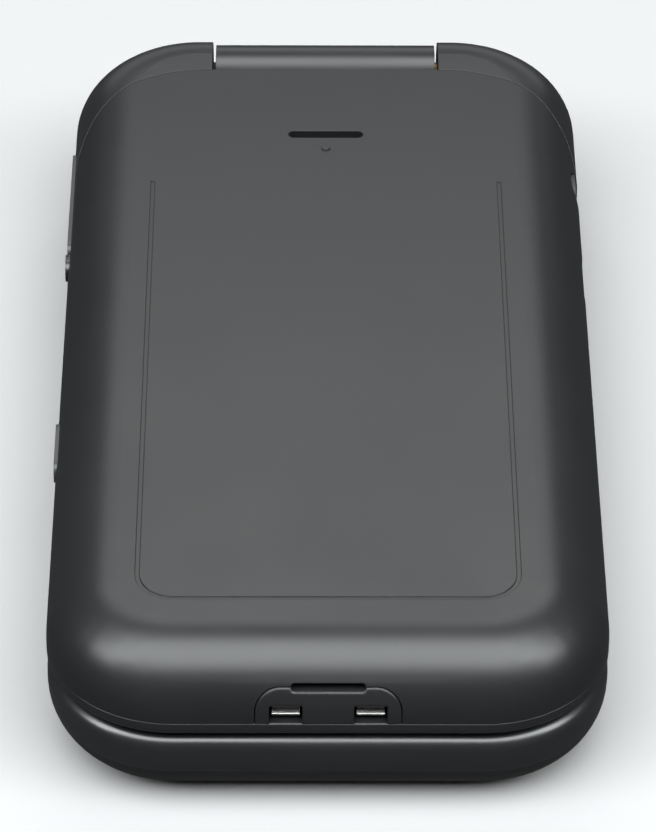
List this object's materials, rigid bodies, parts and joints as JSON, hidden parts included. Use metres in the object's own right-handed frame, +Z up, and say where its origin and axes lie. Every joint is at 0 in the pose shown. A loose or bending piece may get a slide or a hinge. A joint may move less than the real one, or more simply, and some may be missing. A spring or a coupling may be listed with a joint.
{
  "type": "flip phone",
  "caption": "Folding mobile phone, closed on its lid, with a sprung barrel hinge, keypad, removable battery cover, audio jack and charging contacts.",
  "frame": {"origin": "middle of the closed phone's footprint, on the outer face of the lid that it lies on", "axes": "+Y from the bottom end to the hinge end, +X to the side with the sockets, +Z up from the lid's outer face to the battery cover"},
  "size_m": [0.0553, 0.108, 0.0191],
  "materials": {
    "lid_shell": "dark grey satin moulded polycarbonate, slightly glossier than the cover",
    "bezel": "dark grey satin moulded polycarbonate",
    "cover": "fine textured dark grey moulded polycarbonate",
    "chassis": "dark grey satin moulded polycarbonate",
    "keypad_shell": "dark grey moulded polycarbonate",
    "window": "black hard coated acrylic",
    "screen": "dark liquid crystal panel in a thin metal frame",
    "chrome_ring": "bright plated ring",
    "lens": "coated glass",
    "black_part": "black moulded plastic",
    "board": "green solder mask over glass fibre board",
    "steel": "bright rolled steel",
    "dark_steel": "blackened steel",
    "brass": "turned brass",
    "gold": "gold plated contact",
    "rubber": "soft black rubber",
    "silicone": "grey silicone sheet",
    "film": "amber polyimide film",
    "battery_wrap": "plain grey cell wrap",
    "carrier": "grey moulded plastic",
    "key_cap": "satin grey moulded key cap",
    "key_light": "satin light grey moulded key cap",
    "key_green": "satin green moulded key cap",
    "key_red": "satin red moulded key cap",
    "ok_cap": "satin silver grey key cap",
    "side_cap": "dark grey moulded key cap",
    "mesh": "black woven acoustic mesh"
  },
  "bodies": {
    "lid": {"lid_outer_case": "lid_shell", "lid_inner_case": "bezel", "outer_window": "window", "outer_display": "screen", "camera_ring": "chrome_ring", "camera_lens": "lens", "camera_module": "black_part", "lid_board": "board", "main_display": "screen", "main_window": "window", "earpiece": "black_part", "closing_magnet": "steel", "lid_bumpers": "rubber", "lid_screws": "dark_steel", "screw_plugs": "rubber", "hinge_cartridge": "steel", "hinge_spring": "steel", "hinge_follower": "steel", "hinge_flex": "film"},
    "base": {"keypad_case": "keypad_shell", "chassis": "chassis", "main_board": "board", "shield_cans": "steel", "dome_sheet": "film", "keypad_mat": "silicone", "battery": "battery_wrap", "battery_contacts": "gold", "sim_holder": "steel", "loudspeaker": "black_part", "speaker_mesh": "mesh", "vibration_motor": "steel", "antenna_carrier": "carrier", "charging_contacts": "gold", "usb_socket": "steel", "audio_jack": "black_part", "microphone": "gold", "base_screws": "dark_steel", "hinge_shaft": "dark_steel", "hinge_bushing": "brass"},
    "key_1_body": {"key_1": "key_cap"},
    "key_2_body": {"key_2": "key_cap"},
    "key_3_body": {"key_3": "key_cap"},
    "key_4_body": {"key_4": "key_cap"},
    "key_5_body": {"key_5": "key_cap"},
    "key_6_body": {"key_6": "key_cap"},
    "key_7_body": {"key_7": "key_cap"},
    "key_8_body": {"key_8": "key_cap"},
    "key_9_body": {"key_9": "key_cap"},
    "key_star_body": {"key_star": "key_cap"},
    "key_0_body": {"key_0": "key_cap"},
    "key_hash_body": {"key_hash": "key_cap"},
    "soft_key_left_body": {"soft_key_left": "key_light"},
    "soft_key_right_body": {"soft_key_right": "key_light"},
    "call_key_body": {"call_key": "key_green"},
    "end_key_body": {"end_key": "key_red"},
    "nav_ring_body": {"nav_ring": "key_light"},
    "ok_key_body": {"ok_key": "ok_cap"},
    "emergency_key_body": {"emergency_key": "side_cap"},
    "volume_rocker_body": {"volume_rocker": "side_cap"},
    "battery_cover_body": {"battery_cover": "cover"}
  },
  "joints": [
    {"name": "lid_hinge", "type": "hinge", "parent": "lid", "child": "base", "pos_m": [0, 0.0475, 0.0118], "axis": [-1, 0, 0], "range_deg": [0, 160]},
    {"name": "key_1_press", "type": "slide", "parent": "base", "child": "key_1_body", "axis": [0, 0, 1], "range_m": [0, 0.0003], "stiffness_N_per_m": 600},
    {"name": "key_2_press", "type": "slide", "parent": "base", "child": "key_2_body", "axis": [0, 0, 1], "range_m": [0, 0.0003], "stiffness_N_per_m": 600},
    {"name": "key_3_press", "type": "slide", "parent": "base", "child": "key_3_body", "axis": [0, 0, 1], "range_m": [0, 0.0003], "stiffness_N_per_m": 600},
    {"name": "key_4_press", "type": "slide", "parent": "base", "child": "key_4_body", "axis": [0, 0, 1], "range_m": [0, 0.0003], "stiffness_N_per_m": 600},
    {"name": "key_5_press", "type": "slide", "parent": "base", "child": "key_5_body", "axis": [0, 0, 1], "range_m": [0, 0.0003], "stiffness_N_per_m": 600},
    {"name": "key_6_press", "type": "slide", "parent": "base", "child": "key_6_body", "axis": [0, 0, 1], "range_m": [0, 0.0003], "stiffness_N_per_m": 600},
    {"name": "key_7_press", "type": "slide", "parent": "base", "child": "key_7_body", "axis": [0, 0, 1], "range_m": [0, 0.0003], "stiffness_N_per_m": 600},
    {"name": "key_8_press", "type": "slide", "parent": "base", "child": "key_8_body", "axis": [0, 0, 1], "range_m": [0, 0.0003], "stiffness_N_per_m": 600},
    {"name": "key_9_press", "type": "slide", "parent": "base", "child": "key_9_body", "axis": [0, 0, 1], "range_m": [0, 0.0003], "stiffness_N_per_m": 600},
    {"name": "key_star_press", "type": "slide", "parent": "base", "child": "key_star_body", "axis": [0, 0, 1], "range_m": [0, 0.0003], "stiffness_N_per_m": 600},
    {"name": "key_0_press", "type": "slide", "parent": "base", "child": "key_0_body", "axis": [0, 0, 1], "range_m": [0, 0.0003], "stiffness_N_per_m": 600},
    {"name": "key_hash_press", "type": "slide", "parent": "base", "child": "key_hash_body", "axis": [0, 0, 1], "range_m": [0, 0.0003], "stiffness_N_per_m": 600},
    {"name": "soft_key_left_press", "type": "slide", "parent": "base", "child": "soft_key_left_body", "axis": [0, 0, 1], "range_m": [0, 0.0003], "stiffness_N_per_m": 600},
    {"name": "soft_key_right_press", "type": "slide", "parent": "base", "child": "soft_key_right_body", "axis": [0, 0, 1], "range_m": [0, 0.0003], "stiffness_N_per_m": 600},
    {"name": "call_key_press", "type": "slide", "parent": "base", "child": "call_key_body", "axis": [0, 0, 1], "range_m": [0, 0.0003], "stiffness_N_per_m": 600},
    {"name": "end_key_press", "type": "slide", "parent": "base", "child": "end_key_body", "axis": [0, 0, 1], "range_m": [0, 0.0003], "stiffness_N_per_m": 600},
    {"name": "nav_ring_press", "type": "slide", "parent": "base", "child": "nav_ring_body", "axis": [0, 0, 1], "range_m": [0, 0.0003], "stiffness_N_per_m": 600},
    {"name": "ok_key_press", "type": "slide", "parent": "base", "child": "ok_key_body", "axis": [0, 0, 1], "range_m": [0, 0.0003], "stiffness_N_per_m": 600},
    {"name": "emergency_key_press", "type": "slide", "parent": "base", "child": "emergency_key_body", "axis": [1, 0, 0], "range_m": [0, 0.0003], "stiffness_N_per_m": 600},
    {"name": "volume_rocker_tilt", "type": "hinge", "parent": "base", "child": "volume_rocker_body", "pos_m": [-0.0257, 0.0272, 0.0122], "axis": [0, 0, 1], "range_deg": [-1.5, 1.5], "stiffness_Nm_per_rad": 0.05},
    {"name": "battery_cover_lift", "type": "slide", "parent": "base", "child": "battery_cover_body", "axis": [0, 0, 1], "range_m": [0, 0.012]}
  ]
}
